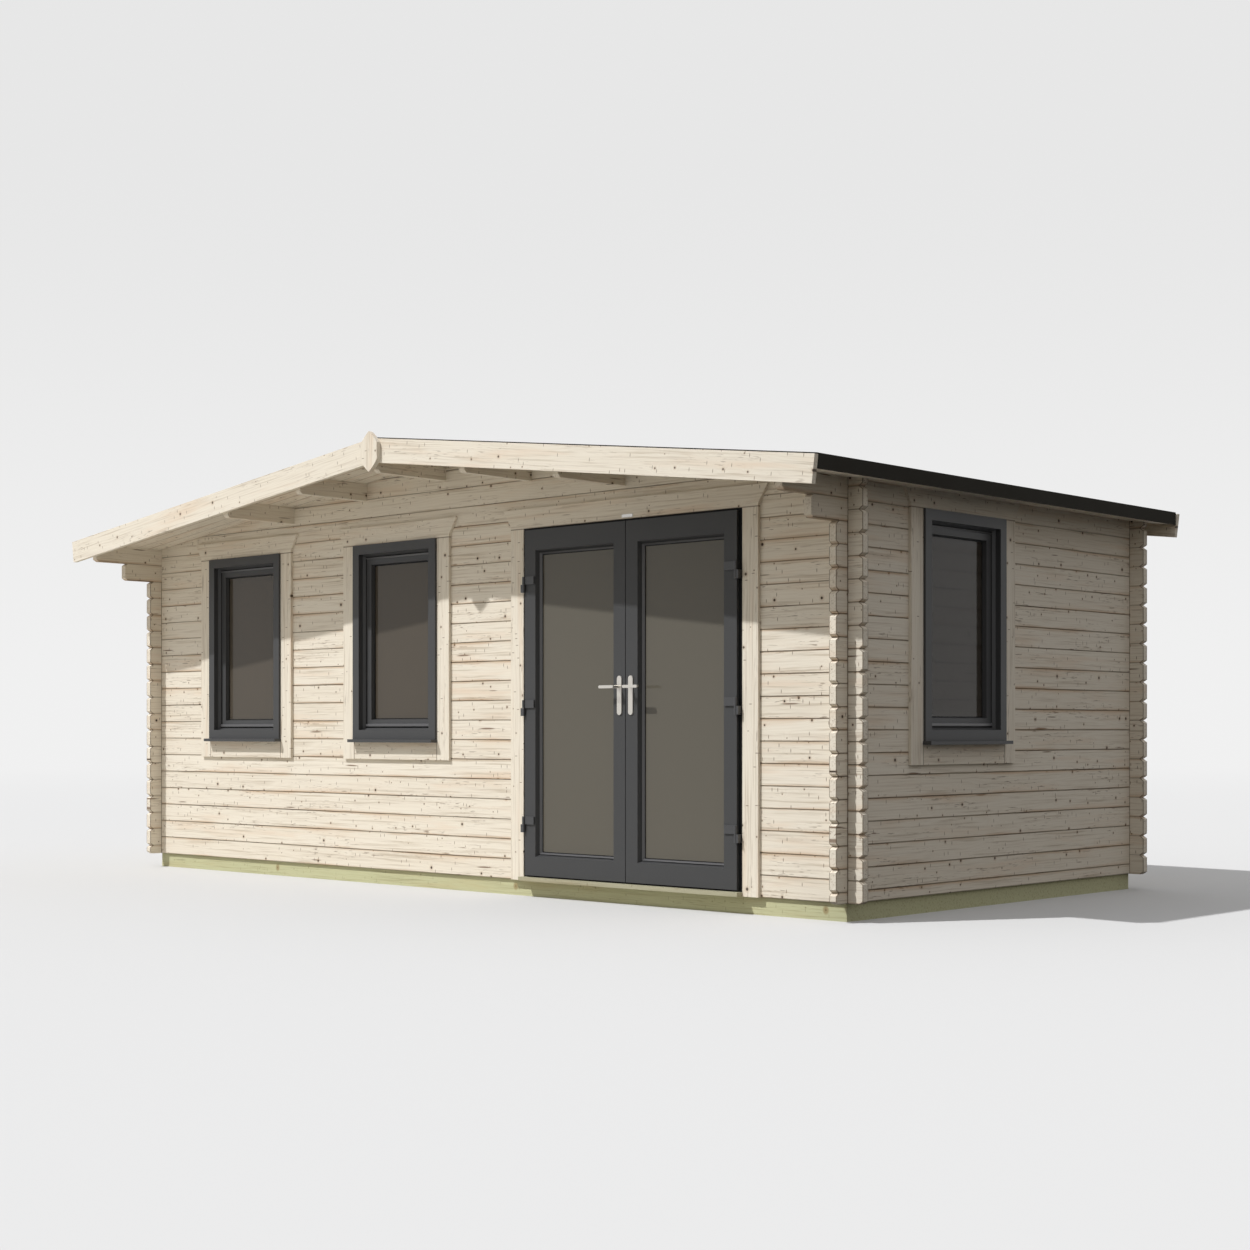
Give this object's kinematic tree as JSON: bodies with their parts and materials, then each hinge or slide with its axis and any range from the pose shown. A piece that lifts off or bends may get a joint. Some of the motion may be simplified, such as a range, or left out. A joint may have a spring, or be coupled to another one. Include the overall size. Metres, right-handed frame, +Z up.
{
  "type": "log cabin",
  "caption": "Garden log cabin of interlocking machined logs with a shallow felted roof, windows and outward opening glazed double doors.",
  "frame": {"origin": "centre of the wall footprint on the ground, at the underside of the middle floor joist", "axes": "+X along the front to the right, +Y from the doors to the back, +Z up"},
  "size_m": [6.38, 3.6046, 2.6613],
  "materials": {
    "spruce": "planed, untreated, matt",
    "treated_timber": "sawn, green pressure treated",
    "anthracite_frame": "smooth satin foil, anthracite grey",
    "floor_board": "planed, matt",
    "dark_hinge": "satin powder coat",
    "glazing": "clear double glazing",
    "satin_steel": "satin",
    "roof_board": "planed, matt",
    "roof_felt": "mineral felt, near black",
    "insulation_board": "rigid foam board",
    "anthracite_cill": "smooth satin, anthracite grey"
  },
  "bodies": {
    "cabin": {"back_bargeboards": "spruce", "back_gable": "spruce", "back_wall": "spruce", "bearers": "treated_timber", "door_frame": "anthracite_frame", "door_sill": "spruce", "door_trim": "spruce", "finials": "spruce", "floor_boards": "floor_board", "floor_joists": "treated_timber", "frame_hinges": "dark_hinge", "front_bargeboards": "spruce", "front_gable": "spruce", "front_wall": "spruce", "left_roof_boards": "roof_board", "left_roof_felt": "roof_felt", "left_wall": "spruce", "left_window_frame": "anthracite_frame", "left_window_sash": "anthracite_frame", "left_window_trim": "spruce", "middle_window_frame": "anthracite_frame", "middle_window_sash": "anthracite_frame", "middle_window_trim": "spruce", "purlins": "spruce", "right_roof_boards": "roof_board", "right_roof_felt": "roof_felt", "right_wall": "spruce", "roof_battens": "spruce", "roof_insulation": "insulation_board", "side_window_frame": "anthracite_frame", "side_window_sash": "anthracite_frame", "side_window_trim": "spruce", "window_cills": "anthracite_cill", "window_glass": "glazing"},
    "left_leaf": {"left_door": "anthracite_frame", "left_door_glass": "glazing", "left_door_hinges": "dark_hinge", "left_handle_plate": "satin_steel"},
    "right_leaf": {"right_door": "anthracite_frame", "right_door_glass": "glazing", "right_door_hinges": "dark_hinge", "right_handle_plate": "satin_steel"},
    "left_lever_handle": {"left_lever": "satin_steel"},
    "right_lever_handle": {"right_lever": "satin_steel"}
  },
  "joints": [
    {"name": "left_door_hinge", "type": "hinge", "parent": "cabin", "child": "left_leaf", "pos_m": [0.7285, -1.462, 1.072], "axis": [0, 0, -1], "range_deg": [0, 100]},
    {"name": "right_door_hinge", "type": "hinge", "parent": "cabin", "child": "right_leaf", "pos_m": [2.2935, -1.462, 1.072], "axis": [0, 0, 1], "range_deg": [0, 100]},
    {"name": "left_lever_turn", "type": "hinge", "parent": "left_leaf", "child": "left_lever_handle", "pos_m": [1.4695, -1.4583, 1.182], "axis": [0, -1, 0], "range_deg": [0, 40], "stiffness_Nm_per_rad": 1.5, "springref_deg": -20.05},
    {"name": "right_lever_turn", "type": "hinge", "parent": "right_leaf", "child": "right_lever_handle", "pos_m": [1.5525, -1.4583, 1.182], "axis": [0, 1, 0], "range_deg": [0, 40], "stiffness_Nm_per_rad": 1.5, "springref_deg": -20.05}
  ]
}
